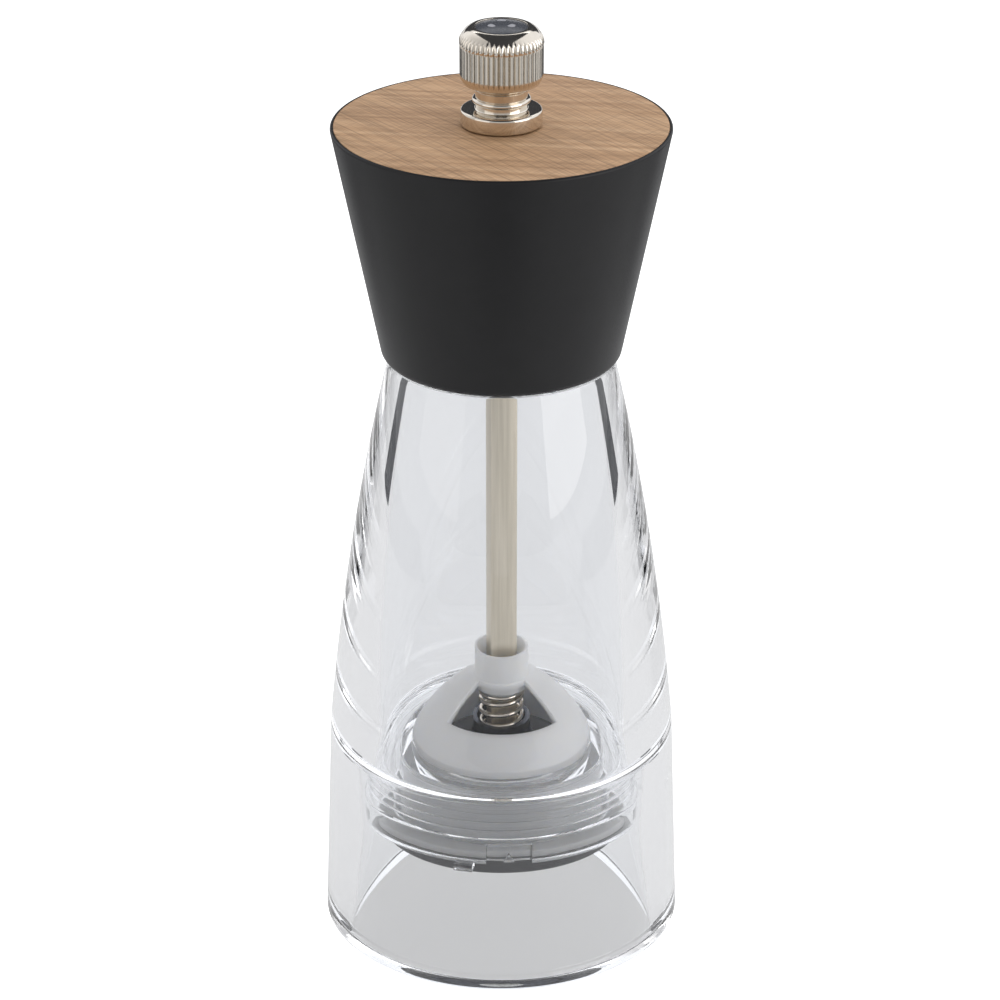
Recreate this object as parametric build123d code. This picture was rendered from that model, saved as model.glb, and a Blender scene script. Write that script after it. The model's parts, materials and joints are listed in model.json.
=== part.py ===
from build123d import *
import os

# A hand-turned pepper mill: a thick clear body with a skirt, a dark flared cap with a wooden top, and a nut
# on top that sets how fine it grinds. Millimetres, +Z up, origin on the axis at the plane the mill stands on.

# ---- Driving dimensions -------------------------------------------------------------------------------

HEIGHT = 165.0  # table to the top of the knob
BASE_R = 31.7  # outside of the skirt at the table
SHOULDER_Z = 34.65  # underside of the chamber, where the mechanism stops
NECK_Z = 106.7  # where the flared outside of the body ends and the neck begins
CAP_BOTTOM_Z = 107.0
CAP_TOP_Z = 147.7  # top face of the wooden disc
SHAFT_SIDE = 4.7  # square bar
THREAD_PITCH = 0.8
ADJUST_TURNS = 2.0
RUNNING_GAP = 0.3  # between pieces that turn past each other
FIT_GAP = 0.05  # between pieces that are pushed together
OVERRUN = 1.0  # how far a cutting shape reaches past the face it cuts
SUNK = 0.5  # how far an added shape starts inside the piece it joins
FRONT = -90.0  # the direction of -Y, in degrees from +X
CAGE_TURN = 1.0  # degrees, how the cage happens to sit in the body
SHAFT_TURN = 12.0  # degrees, how the square bar happens to stand

ADJUST_TRAVEL = THREAD_PITCH * ADJUST_TURNS  # how far the inner burr rises from coarse to fine
SHAFT_BREAK = 0.25  # taken off each corner of the bar
SHAFT_CORNER_R = SHAFT_SIDE / 2 * 2**0.5 - SHAFT_BREAK
SHAFT_BORE_R = SHAFT_CORNER_R + RUNNING_GAP
DRIVE_PLAY = 0.25
DRIVE_HOLE = SHAFT_SIDE + DRIVE_PLAY  # square hole that slides along the bar

# ---- Body ---------------------------------------------------------------------------------------------

SKIRT_TOP_R, SKIRT_TOP_Z = 30.2, 37.8  # the outside is straight up to here, then one long arc
WAIST_R, WAIST_Z = 25.35, 75.6
BODY_TOP_R = 19.2
RIM_CHAMFER = 0.5
SKIRT_BORE_R = 25.3
SKIRT_BORE_TOP_R = 24.5
CHAMBER_R = 22.3
CHAMBER_BEND_Z = 42.0
CHAMBER_MID_R, CHAMBER_MID_Z = 20.75, 68.25
NECK_R = 17.5
NECK_BORE_R = 15.5
NECK_TOP_Z = 115.0
CATCHES = 3
CATCH_START = FRONT - 14.5
CATCH_HALF_ANGLE = 3.5
CATCH_HEIGHT = 1.2
CATCH_REACH = 1.3

# ---- Mechanism that stands still ----------------------------------------------------------------------

HOUSING_BOTTOM_Z = 22.15
FLANGE_R, FLANGE_TOP_Z = 24.0, 26.9
HOUSING_R = 23.3
RIB_R = 23.8
RIB_COUNT = 4
RIB_HEIGHT = 0.7
RIB_START_Z, RIB_PITCH = 28.2, 1.72
GROOVE_INNER_R, GROOVE_OUTER_R = 18.3, 21.4  # moulded up into the housing from below, to keep its walls even
GROOVE_TOP_Z = 33.0
NOTCHES = 3
NOTCH_WIDTH, NOTCH_HEIGHT, NOTCH_DEPTH = 7.4, 3.6, 1.2
NOTCH_START = FRONT + 3.0
MARK_WIDTH, MARK_HEIGHT, MARK_DEPTH = 1.8, 1.6, 0.6

CAGE_FOOT_R = 16.6
CAGE_STEP_Z = 31.6
CAGE_R, CAGE_CORNER_Z = 16.0, 35.6
CAGE_MID_R, CAGE_MID_Z = 12.3, 40.4
CAGE_FLANGE_R, CAGE_FLANGE_TOP_Z = 20.6, 23.35
CAGE_BORE_R = 13.9
DOME_EDGE_Z = 35.0  # where the bore ends and the underside of the dome begins
DOME_UNDER_R, DOME_UNDER_Z = 11.5, 39.55
DOME_UNDER_TOP_Z = 45.1
WINDOWS = 2  # openings in the cage that let the peppercorns down
WINDOW_R = 12.1
WINDOW_HALF_ANGLE = 51.0
HUB_R = 4.88
HUB_FOOT_Z = 43.9
HUB_TOP_Z = 51.3
DOME_TOP_Z = 46.3
HUB_MOUTH_R, HUB_MOUTH_DEPTH = 4.3, 1.6

COLLAR_R = 21.1
COLLAR_BOTTOM_Z = 18.6
COLLAR_CHAMFER = 0.6

BURR_R = 13.8
BURR_BOTTOM_Z, BURR_TOP_Z = 18.8, 30.0
BURR_THROAT_R, BURR_THROAT_Z = 10.9, 26.5
BURR_EXIT_R = 12.1
BURR_LIP = 0.6
BURR_TEETH = 30
BURR_GROOVE, BURR_GROOVE_LENGTH = 1.0, 13.4
BURR_GROOVE_R = 11.6
BURR_LEAN = 12.0

# ---- Drive: shaft, inner burr, spring -----------------------------------------------------------------

ROTOR_BOTTOM_Z = 18.9
ROTOR_R = 11.5
ROTOR_NECK_R, ROTOR_NECK_Z = 10.3, 26.0
ROTOR_CONE_R, ROTOR_CONE_Z = 6.4, 28.0
ROTOR_TEETH = 24
ROTOR_GROOVE, ROTOR_GROOVE_LENGTH = 1.1, 11.4
ROTOR_GROOVE_R = 11.05
ROTOR_LEAN = -25.0
ROTOR_BLADES = 4
BLADE_WIDTH = 1.7
BLADE_INNER_R = 4.0
BLADE_FOOT_R, BLADE_TOP_R = 9.8, 6.2
BLADE_FOOT_Z, BLADE_TOP_Z = 24.5, 36.5
BLADE_TWIST = 70.0  # degrees that each blade winds round on its way up
BLADE_STEPS = 4
CUP_R, CUP_BORE_R = 5.2, 4.4
CUP_FOOT_Z, CUP_FLOOR_Z, CUP_TOP_Z = 33.0, 34.5, 37.6

THRUST_WASHER_R, THRUST_WASHER_T = 4.3, 0.6
SPRING_R = 3.75  # to the middle of the wire
SPRING_WIRE_R = 0.4
SPRING_PITCH = 1.7
SPRING_END_GAP = 0.1

SHAFT_BOTTOM_Z = 20.5
SHAFT_SHOULDER_Z = 144.8  # the square bar ends and the thread begins
SHAFT_CHAMFER = 0.9
STUD_R = 2.42
STUD_TOP_Z = 158.4
STUD_CHAMFER = 0.4
SCREW_R = 1.4
SCREW_HEAD_R, SCREW_HEAD_H = 3.2, 1.5
SCREW_TIP_Z, SCREW_TIP_ROOM = 30.0, 0.5
SLOT_WIDTH = 0.7
SLOT_SHARE = 1.1  # length of a screw's slots, in radii of its head
ROTOR_WASHER_R, ROTOR_WASHER_T = 4.2, 0.7

# ---- Cap ----------------------------------------------------------------------------------------------

CAP_SLOPE = 0.2022  # how fast the outside widens with height
CAP_BOTTOM_R = 20.2
CAP_WALL = 2.3
CAP_LIP = 0.6
CAP_BOTTOM_ROUND, CAP_TOP_ROUND = 1.6, 0.35
DISC_T = 2.5
DISC_BORE_R = 3.7
DISC_CHAMFER = 0.12
DECK_T = 2.0
DECK_Z = CAP_TOP_Z - DISC_T  # the face that the wooden disc lies on
DECK_UNDER_Z = DECK_Z - DECK_T
CAP_BORE_R = 3.6
CORE_TUBE_R = 6.0
WEB_Z, WEB_T, WEB_R = NECK_TOP_Z, 3.0, 19.3
SPIGOT_R, SPIGOT_WALL = NECK_BORE_R - RUNNING_GAP, 2.0
SPIGOT_BOTTOM_Z, SPIGOT_CHAMFER = 107.5, 0.6
CORE_SCREWS, CORE_SCREW_RING, CORE_SCREW_START = 3, 10.6, 90.0
CORE_SCREW_R, CORE_SCREW_HEAD_R, CORE_SCREW_HEAD_H = 1.05, 1.9, 1.3
CORE_SCREW_BITE = 8.5
BOSS_R = 2.6
PLATE_R, PLATE_T = 7.6, 1.5
PLATE_SCREWS, PLATE_SCREW_RING = 2, 5.4
PLATE_SCREW_R, PLATE_SCREW_HEAD_R, PLATE_SCREW_HEAD_H = 0.8, 1.5, 1.0
PLATE_SCREW_BITE = 5.0

# ---- Knob ---------------------------------------------------------------------------------------------

GLIDE_R, GLIDE_T = 5.2, 0.5
KNOB_Z = CAP_TOP_Z + 0.2
KNOB_SEAT_Z = CAP_TOP_Z + GLIDE_T  # where the knob bears on its washer
KNOB_FLANGE_R, KNOB_FLANGE_TOP_Z = 6.8, 150.6
KNOB_EDGE = 0.3
KNOB_WAIST_R = 4.35
KNOB_BEAD_Z, KNOB_BEAD_R = 152.1, 0.55
KNOB_BEVEL_Z = 153.9
KNOB_BARREL_R, KNOB_BARREL_Z = 6.6, 155.1
KNOB_RIDGES = 48
KNOB_RIDGE_R = 6.97  # over the ridges
KNOB_RIDGE_ROUND = 0.33
KNOB_RIDGE_TOP_Z = 161.3
KNOB_SHOULDER_MID_R, KNOB_SHOULDER_MID_Z = 6.15, 163.75
KNOB_RIM_R, KNOB_RIM_Z = 4.9, 164.55
THREAD_INSERT_R = 3.7
KNOB_BORE_R, KNOB_BORE_TOP_Z = 2.5, 161.4
INSERT_CAP_T = 0.55
INSERT_R, INSERT_T = 4.35, 0.9
INSERT_EDGE = 0.15
INSERT_MID_R, INSERT_MID_Z = 2.6, 164.8
DOTS, DOT_R, DOT_RING, DOT_DEPTH = 3, 0.75, 1.75, 0.25


# ---- Helpers ------------------------------------------------------------------------------------------


def turned(*edges):
    """The solid swept round Z by a closed outline, drawn with radius across and height up."""
    return revolve(Plane.XZ * make_face(list(edges)), Axis.Z)


def turned_points(*points):
    return turned(Polyline(*points, close=True))


def ring(inner_r, outer_r, low, high):
    """A plain ring, or a disc where the inner radius is 0."""
    return turned_points((inner_r, low), (outer_r, low), (outer_r, high), (inner_r, high))


def cone(low_r, high_r, low, high):
    return turned_points((0, low), (low_r, low), (high_r, high), (0, high))


def sector(inner_r, outer_r, low, high, middle, half_angle):
    """A slice of a ring, half_angle degrees to each side of the direction middle."""
    outline = Polyline((inner_r, low), (outer_r, low), (outer_r, high), (inner_r, high), close=True)
    piece = revolve(Plane.XZ * make_face([outline]), Axis.Z, 2 * half_angle)
    return Rot(0, 0, middle - half_angle) * piece


def square_bar(side, low, high):
    return Pos(0, 0, low) * Rot(0, 0, SHAFT_TURN) * extrude(Rectangle(side, side), high - low)


def round_the_axis(piece, count, start=0.0):
    """Copies of a piece, evenly spaced round Z, the first one turned by start degrees."""
    return [Rot(0, 0, start + 360.0 / count * i) * piece for i in range(count)]


def outer_circle(shape, level):
    """The widest round edge at the lowest level, 0, or the highest, -1."""
    return shape.edges().filter_by(GeomType.CIRCLE).group_by(Axis.Z)[level].sort_by(SortBy.RADIUS)[-1]


def solid_of(shape):
    """The single solid that a piece is made of."""
    solids = shape.solids()
    assert len(solids) == 1, len(solids)
    return solids[0]


def cross_slotted(screw, width, slot_width, depth, head_z):
    """The screw with a crossed slot cut up into the face of its head at head_z."""
    for turn in (0, 90):
        screw -= Pos(0, 0, head_z) * Rot(0, 0, turn) * Box(width, slot_width, 2 * depth)
    return screw


# ---- Body and mechanism, which stand still ------------------------------------------------------------


def make_body():
    """The clear chamber and the skirt it stands on, in one piece, with catches that hold the mechanism up."""
    edges = [
        Polyline(
            (SKIRT_BORE_R, 0),
            (BASE_R - RIM_CHAMFER, 0),
            (BASE_R, RIM_CHAMFER),
            (SKIRT_TOP_R, SKIRT_TOP_Z),
        ),
        ThreePointArc((SKIRT_TOP_R, SKIRT_TOP_Z), (WAIST_R, WAIST_Z), (BODY_TOP_R, NECK_Z)),
        Polyline(
            (BODY_TOP_R, NECK_Z),
            (NECK_R, NECK_Z),
            (NECK_R, NECK_TOP_Z),
            (NECK_BORE_R, NECK_TOP_Z),
            (NECK_BORE_R, NECK_Z),
        ),
        ThreePointArc((NECK_BORE_R, NECK_Z), (CHAMBER_MID_R, CHAMBER_MID_Z), (CHAMBER_R, CHAMBER_BEND_Z)),
        Polyline(
            (CHAMBER_R, CHAMBER_BEND_Z),
            (CHAMBER_R, SHOULDER_Z),
            (SKIRT_BORE_TOP_R, SHOULDER_Z),
            (SKIRT_BORE_R, 0),
        ),
    ]
    body = turned(*edges)
    wall_r = SKIRT_BORE_R + RIM_CHAMFER
    low = HOUSING_BOTTOM_Z - CATCH_HEIGHT
    catch = sector(FLANGE_R - CATCH_REACH, wall_r, low, HOUSING_BOTTOM_Z, CATCH_START, CATCH_HALF_ANGLE)
    for piece in round_the_axis(catch, CATCHES):
        body += piece
    return solid_of(body)


def make_housing():
    """The clear carrier of the mechanism: a ribbed ring with a notched flange, grooved from below."""
    bore_r = CAGE_R + FIT_GAP
    foot_r = CAGE_FOOT_R + FIT_GAP
    housing = turned_points(
        (foot_r, CAGE_FLANGE_TOP_Z),
        (GROOVE_INNER_R, CAGE_FLANGE_TOP_Z),
        (GROOVE_INNER_R, GROOVE_TOP_Z),
        (GROOVE_OUTER_R, GROOVE_TOP_Z),
        (GROOVE_OUTER_R, HOUSING_BOTTOM_Z),
        (FLANGE_R, HOUSING_BOTTOM_Z),
        (FLANGE_R, FLANGE_TOP_Z),
        (HOUSING_R, FLANGE_TOP_Z),
        (HOUSING_R, SHOULDER_Z),
        (bore_r, SHOULDER_Z),
        (bore_r, CAGE_STEP_Z),
        (foot_r, CAGE_STEP_Z),
    )
    for i in range(RIB_COUNT):
        low = RIB_START_Z + RIB_PITCH * i
        housing += ring(HOUSING_R - SUNK, RIB_R, low, low + RIB_HEIGHT)
    notch = Pos(FLANGE_R, 0, HOUSING_BOTTOM_Z) * Box(2 * NOTCH_DEPTH, NOTCH_WIDTH, 2 * NOTCH_HEIGHT)
    for piece in round_the_axis(notch, NOTCHES, NOTCH_START):
        housing -= piece
    triangle = Polyline((-MARK_WIDTH / 2, 0), (MARK_WIDTH / 2, 0), (0, MARK_HEIGHT), close=True)
    mark = extrude(Plane.YZ * make_face([triangle]), MARK_DEPTH + SUNK)
    mark = Pos(FLANGE_R - NOTCH_DEPTH - SUNK, 0, HOUSING_BOTTOM_Z) * mark
    for piece in round_the_axis(mark, NOTCHES, NOTCH_START):
        housing += piece
    return solid_of(housing)


def make_cage():
    """The translucent cage: a flanged sleeve, a dome with two windows, and the hub that guides the shaft."""
    dome_top = (HUB_R, DOME_TOP_Z)
    inner_top = (HUB_R, DOME_UNDER_TOP_Z)
    inner_corner = (CAGE_BORE_R, DOME_EDGE_Z)
    edges = [
        Polyline(
            (CAGE_BORE_R, HOUSING_BOTTOM_Z),
            (CAGE_FLANGE_R, HOUSING_BOTTOM_Z),
            (CAGE_FLANGE_R, CAGE_FLANGE_TOP_Z),
            (CAGE_FOOT_R, CAGE_FLANGE_TOP_Z),
            (CAGE_FOOT_R, CAGE_STEP_Z),
            (CAGE_R, CAGE_STEP_Z),
            (CAGE_R, CAGE_CORNER_Z),
        ),
        ThreePointArc((CAGE_R, CAGE_CORNER_Z), (CAGE_MID_R, CAGE_MID_Z), dome_top),
        Line(dome_top, inner_top),
        ThreePointArc(inner_top, (DOME_UNDER_R, DOME_UNDER_Z), inner_corner),
        Line(inner_corner, (CAGE_BORE_R, HOUSING_BOTTOM_Z)),
    ]
    cage = turned(*edges)
    window = sector(HUB_R, WINDOW_R, CAGE_CORNER_Z, HUB_TOP_Z, FRONT + CAGE_TURN, WINDOW_HALF_ANGLE)
    for piece in round_the_axis(window, WINDOWS):
        cage -= piece
    cage += ring(SHAFT_BORE_R, HUB_R, HUB_FOOT_Z, HUB_TOP_Z)
    cage -= cone(SHAFT_BORE_R, HUB_MOUTH_R, HUB_TOP_Z - HUB_MOUTH_DEPTH, HUB_TOP_Z)
    return solid_of(cage)


def make_collar():
    """The dark ring under the cage that holds the outer burr."""
    collar = ring(BURR_R + FIT_GAP, COLLAR_R, COLLAR_BOTTOM_Z, HOUSING_BOTTOM_Z)
    return solid_of(chamfer(outer_circle(collar, 0), COLLAR_CHAMFER))


def make_outer_burr():
    """The still half of the grinder: a ring whose bore is a toothed throat."""
    burr = turned_points(
        (BURR_EXIT_R, BURR_BOTTOM_Z),
        (BURR_R, BURR_BOTTOM_Z),
        (BURR_R, BURR_TOP_Z),
        (BURR_R - BURR_LIP, BURR_TOP_Z),
        (BURR_THROAT_R, BURR_THROAT_Z),
    )
    groove = Rot(BURR_LEAN, 0, 0) * Rot(0, 0, 45) * Box(BURR_GROOVE, BURR_GROOVE, BURR_GROOVE_LENGTH)
    groove = Pos(BURR_GROOVE_R, 0, (BURR_BOTTOM_Z + BURR_TOP_Z) / 2) * groove
    for piece in round_the_axis(groove, BURR_TEETH):
        burr -= piece
    return solid_of(burr)


# ---- Drive: the shaft with the inner burr on its foot -------------------------------------------------


def make_shaft():
    """A square bar with a thread, drawn as its plain outside, at the top and a tapped hole in its foot."""
    bar = square_bar(SHAFT_SIDE, SHAFT_BOTTOM_Z, SHAFT_SHOULDER_Z)
    broken = ring(0, SHAFT_CORNER_R, SHAFT_BOTTOM_Z, SHAFT_SHOULDER_Z - SHAFT_CHAMFER)
    shaft = bar & (broken + cone(SHAFT_CORNER_R, STUD_R, SHAFT_SHOULDER_Z - SHAFT_CHAMFER, SHAFT_SHOULDER_Z))
    shaft += ring(0, STUD_R, SHAFT_SHOULDER_Z - SHAFT_CHAMFER, STUD_TOP_Z - STUD_CHAMFER)
    shaft += cone(STUD_R, STUD_R - STUD_CHAMFER, STUD_TOP_Z - STUD_CHAMFER, STUD_TOP_Z)
    shaft -= ring(0, SCREW_R + FIT_GAP, SHAFT_BOTTOM_Z - OVERRUN, SCREW_TIP_Z + SCREW_TIP_ROOM)
    return solid_of(shaft)


def make_blade():
    """One winding blade of the inner burr."""
    sections = []
    for i in range(BLADE_STEPS + 1):
        share = i / BLADE_STEPS
        z = BLADE_FOOT_Z + (BLADE_TOP_Z - BLADE_FOOT_Z) * share
        outer_r = BLADE_FOOT_R + (BLADE_TOP_R - BLADE_FOOT_R) * share
        outline = Pos((outer_r + BLADE_INNER_R) / 2, 0) * Rectangle(outer_r - BLADE_INNER_R, BLADE_WIDTH)
        sections.append(Pos(0, 0, z) * Rot(0, 0, BLADE_TWIST * share) * outline)
    return loft(sections, ruled=True)


def make_inner_burr():
    """The turning half of the grinder: a toothed skirt, winding blades, and a cup for the spring."""
    burr = turned_points(
        (0, ROTOR_BOTTOM_Z),
        (ROTOR_R, ROTOR_BOTTOM_Z),
        (ROTOR_NECK_R, ROTOR_NECK_Z),
        (ROTOR_CONE_R, ROTOR_CONE_Z),
        (CUP_R, CUP_FOOT_Z),
        (CUP_R, CUP_TOP_Z),
        (0, CUP_TOP_Z),
    )
    groove = Rot(ROTOR_LEAN, 0, 0) * Rot(0, 0, 45) * Box(ROTOR_GROOVE, ROTOR_GROOVE, ROTOR_GROOVE_LENGTH)
    groove = Pos(ROTOR_GROOVE_R, 0, (ROTOR_BOTTOM_Z + ROTOR_NECK_Z) / 2) * groove
    for piece in round_the_axis(groove, ROTOR_TEETH):
        burr -= piece
    for piece in round_the_axis(make_blade(), ROTOR_BLADES):
        burr += piece
    burr -= ring(0, CUP_BORE_R, CUP_FLOOR_Z, CUP_TOP_Z + OVERRUN)
    burr -= square_bar(SHAFT_SIDE + 2 * FIT_GAP, SHAFT_BOTTOM_Z, CUP_FLOOR_Z + OVERRUN)
    burr -= ring(0, SCREW_R + RUNNING_GAP, ROTOR_BOTTOM_Z - OVERRUN, SHAFT_BOTTOM_Z + OVERRUN)
    return solid_of(burr)


def make_rotor_washer():
    low = ROTOR_BOTTOM_Z - ROTOR_WASHER_T
    return solid_of(ring(SCREW_R + RUNNING_GAP, ROTOR_WASHER_R, low, ROTOR_BOTTOM_Z))


def make_rotor_screw():
    """The screw that holds the inner burr on the shaft."""
    head_top = ROTOR_BOTTOM_Z - ROTOR_WASHER_T
    head_bottom = head_top - SCREW_HEAD_H
    screw = ring(0, SCREW_HEAD_R, head_bottom, head_top)
    screw = chamfer(screw.edges().group_by(Axis.Z)[0], SCREW_HEAD_H / 3)
    screw += ring(0, SCREW_R, head_top, SCREW_TIP_Z)
    slot_length = SLOT_SHARE * SCREW_HEAD_R
    return solid_of(cross_slotted(screw, slot_length, SLOT_WIDTH, SCREW_HEAD_H / 2, head_bottom))


def make_thrust_washer():
    """A washer with a square hole: it turns with the shaft and bears on the foot of the hub."""
    low = HUB_FOOT_Z - THRUST_WASHER_T
    washer = ring(0, THRUST_WASHER_R, low, HUB_FOOT_Z)
    return solid_of(washer - square_bar(DRIVE_HOLE, low - OVERRUN, HUB_FOOT_Z + OVERRUN))


def make_spring():
    """A compression spring from the cup of the inner burr up to the thrust washer."""
    end_gap = SPRING_WIRE_R + SPRING_END_GAP
    low = CUP_FLOOR_Z + end_gap
    high = HUB_FOOT_Z - THRUST_WASHER_T - end_gap
    path = Pos(0, 0, low) * Helix(SPRING_PITCH, high - low, SPRING_R)
    wire = Plane(path @ 0, z_dir=path % 0) * Circle(SPRING_WIRE_R)
    return solid_of(sweep(wire, path, is_frenet=True))


# ---- Cap ----------------------------------------------------------------------------------------------


def cap_radius(z):
    """Outside radius of the cap at a height."""
    return CAP_BOTTOM_R + CAP_SLOPE * (z - CAP_BOTTOM_Z)


def make_cap_shell():
    """The flared dark cap, hollow from below, with a recess on top for the wood and bosses for the core."""
    lip_r = cap_radius(CAP_TOP_Z)
    shell = turned_points(
        (CAP_BOTTOM_R - CAP_WALL, CAP_BOTTOM_Z),
        (CAP_BOTTOM_R, CAP_BOTTOM_Z),
        (lip_r, CAP_TOP_Z),
        (lip_r - CAP_LIP, CAP_TOP_Z),
        (lip_r - CAP_LIP, DECK_Z),
        (CAP_BORE_R, DECK_Z),
        (CAP_BORE_R, DECK_UNDER_Z),
        (cap_radius(DECK_UNDER_Z) - CAP_WALL, DECK_UNDER_Z),
    )
    shell = fillet(outer_circle(shell, 0), CAP_BOTTOM_ROUND)
    shell = fillet(outer_circle(shell, -1), CAP_TOP_ROUND)
    web_top = WEB_Z + WEB_T
    boss = Pos(CORE_SCREW_RING, 0, 0) * ring(0, BOSS_R, web_top, DECK_UNDER_Z + SUNK)
    for piece in round_the_axis(boss, CORE_SCREWS, CORE_SCREW_START):
        shell += piece
    hole = ring(0, CORE_SCREW_R + FIT_GAP, web_top - OVERRUN, web_top + CORE_SCREW_BITE + OVERRUN)
    hole = Pos(CORE_SCREW_RING, 0, 0) * hole
    for piece in round_the_axis(hole, CORE_SCREWS, CORE_SCREW_START):
        shell -= piece
    return solid_of(shell)


def make_wooden_disc():
    disc = ring(DISC_BORE_R, cap_radius(CAP_TOP_Z) - CAP_LIP - FIT_GAP, DECK_Z, CAP_TOP_Z)
    return solid_of(chamfer(disc.edges().group_by(Axis.Z)[-1], DISC_CHAMFER))


def make_cap_core():
    """The plug inside the cap: a web with a spigot that turns in the neck, and a tube round the shaft."""
    spigot_bore_r = SPIGOT_R - SPIGOT_WALL
    core = turned_points(
        (CAP_BORE_R, WEB_Z),
        (spigot_bore_r, WEB_Z),
        (spigot_bore_r, SPIGOT_BOTTOM_Z),
        (SPIGOT_R - SPIGOT_CHAMFER, SPIGOT_BOTTOM_Z),
        (SPIGOT_R, SPIGOT_BOTTOM_Z + SPIGOT_CHAMFER),
        (SPIGOT_R, WEB_Z),
        (WEB_R, WEB_Z),
        (WEB_R, WEB_Z + WEB_T),
        (CORE_TUBE_R, WEB_Z + WEB_T),
        (CORE_TUBE_R, DECK_UNDER_Z),
        (CAP_BORE_R, DECK_UNDER_Z),
    )
    hole = ring(0, CORE_SCREW_R + RUNNING_GAP, WEB_Z - OVERRUN, WEB_Z + WEB_T + OVERRUN)
    hole = Pos(CORE_SCREW_RING, 0, 0) * hole
    for piece in round_the_axis(hole, CORE_SCREWS, CORE_SCREW_START):
        core -= piece
    pilot = ring(0, PLATE_SCREW_R + FIT_GAP, WEB_Z - OVERRUN, WEB_Z + PLATE_SCREW_BITE + OVERRUN)
    pilot = Pos(PLATE_SCREW_RING, 0, 0) * pilot
    for piece in round_the_axis(pilot, PLATE_SCREWS, SHAFT_TURN):
        core -= piece
    return solid_of(core)


def pan_screw(shank_r, head_r, head_h, length):
    """A self-tapping screw that points up, the upper face of its head at height 0."""
    screw = ring(0, head_r, -head_h, 0)
    screw = chamfer(screw.edges().group_by(Axis.Z)[0], head_h / 3)
    screw += ring(0, shank_r, 0, length)
    return cross_slotted(screw, SLOT_SHARE * head_r, SLOT_WIDTH, head_h / 2, -head_h)


def make_core_screws():
    screw = pan_screw(CORE_SCREW_R, CORE_SCREW_HEAD_R, CORE_SCREW_HEAD_H, WEB_T + CORE_SCREW_BITE)
    screw = Pos(CORE_SCREW_RING, 0, WEB_Z) * screw
    return Compound([solid_of(piece) for piece in round_the_axis(screw, CORE_SCREWS, CORE_SCREW_START)])


def make_drive_plate():
    """The steel plate under the web whose square hole turns the shaft."""
    plate = ring(0, PLATE_R, WEB_Z - PLATE_T, WEB_Z)
    low, high = WEB_Z - PLATE_T - OVERRUN, WEB_Z + OVERRUN
    plate -= square_bar(DRIVE_HOLE, low, high)
    hole = Pos(PLATE_SCREW_RING, 0, 0) * ring(0, PLATE_SCREW_R + FIT_GAP, low, high)
    for piece in round_the_axis(hole, PLATE_SCREWS, SHAFT_TURN):
        plate -= piece
    return solid_of(plate)


def make_plate_screws():
    screw = pan_screw(PLATE_SCREW_R, PLATE_SCREW_HEAD_R, PLATE_SCREW_HEAD_H, PLATE_T + PLATE_SCREW_BITE)
    screw = Pos(PLATE_SCREW_RING, 0, WEB_Z - PLATE_T) * screw
    return Compound([solid_of(piece) for piece in round_the_axis(screw, PLATE_SCREWS, SHAFT_TURN)])


def make_glide_washer():
    """The thin plastic washer that the knob turns on."""
    return solid_of(ring(DISC_BORE_R, GLIDE_R, CAP_TOP_Z, CAP_TOP_Z + GLIDE_T))


# ---- Knob ---------------------------------------------------------------------------------------------


def make_knob():
    """The plated nut: a flange, a beaded waist, a ridged barrel and a rounded top with a recess."""
    recess_r = GLIDE_R + RUNNING_GAP
    insert_seat_z = KNOB_RIM_Z - INSERT_T
    bead_low = (KNOB_WAIST_R, KNOB_BEAD_Z - KNOB_BEAD_R)
    bead_high = (KNOB_WAIST_R, KNOB_BEAD_Z + KNOB_BEAD_R)
    barrel_top = (KNOB_BARREL_R, KNOB_RIDGE_TOP_Z)
    shoulder_mid = (KNOB_SHOULDER_MID_R, KNOB_SHOULDER_MID_Z)
    edges = [
        Polyline(
            (THREAD_INSERT_R, KNOB_SEAT_Z),
            (recess_r, KNOB_SEAT_Z),
            (recess_r, KNOB_Z),
            (KNOB_FLANGE_R - KNOB_EDGE, KNOB_Z),
            (KNOB_FLANGE_R, KNOB_Z + KNOB_EDGE),
            (KNOB_FLANGE_R, KNOB_FLANGE_TOP_Z - KNOB_EDGE),
            (KNOB_FLANGE_R - KNOB_EDGE, KNOB_FLANGE_TOP_Z),
            (KNOB_WAIST_R, KNOB_FLANGE_TOP_Z),
            bead_low,
        ),
        ThreePointArc(bead_low, (KNOB_WAIST_R + KNOB_BEAD_R, KNOB_BEAD_Z), bead_high),
        Polyline(bead_high, (KNOB_WAIST_R, KNOB_BEVEL_Z), (KNOB_BARREL_R, KNOB_BARREL_Z), barrel_top),
        ThreePointArc(barrel_top, shoulder_mid, (KNOB_RIM_R, KNOB_RIM_Z)),
        Polyline(
            (KNOB_RIM_R, KNOB_RIM_Z),
            (INSERT_R + FIT_GAP, KNOB_RIM_Z),
            (INSERT_R + FIT_GAP, insert_seat_z),
            (0, insert_seat_z),
            (0, KNOB_BORE_TOP_Z + INSERT_CAP_T),
            (THREAD_INSERT_R, KNOB_BORE_TOP_Z + INSERT_CAP_T),
            (THREAD_INSERT_R, KNOB_SEAT_Z),
        ),
    ]
    knob = turned(*edges)
    length = KNOB_RIDGE_TOP_Z - KNOB_BARREL_Z - 2 * KNOB_EDGE
    ridge = Cylinder(KNOB_RIDGE_ROUND, length)
    ridge = Pos(KNOB_RIDGE_R - KNOB_RIDGE_ROUND, 0, KNOB_BARREL_Z + KNOB_EDGE + length / 2) * ridge
    return solid_of(knob + round_the_axis(ridge, KNOB_RIDGES))


def make_thread_insert():
    """The brass nut moulded into the knob, its thread drawn as a plain bore, closed at the top."""
    outer_r = THREAD_INSERT_R
    insert = ring(KNOB_BORE_R, outer_r, KNOB_SEAT_Z, KNOB_BORE_TOP_Z)
    return solid_of(insert + ring(0, outer_r, KNOB_BORE_TOP_Z, KNOB_BORE_TOP_Z + INSERT_CAP_T))


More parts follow.
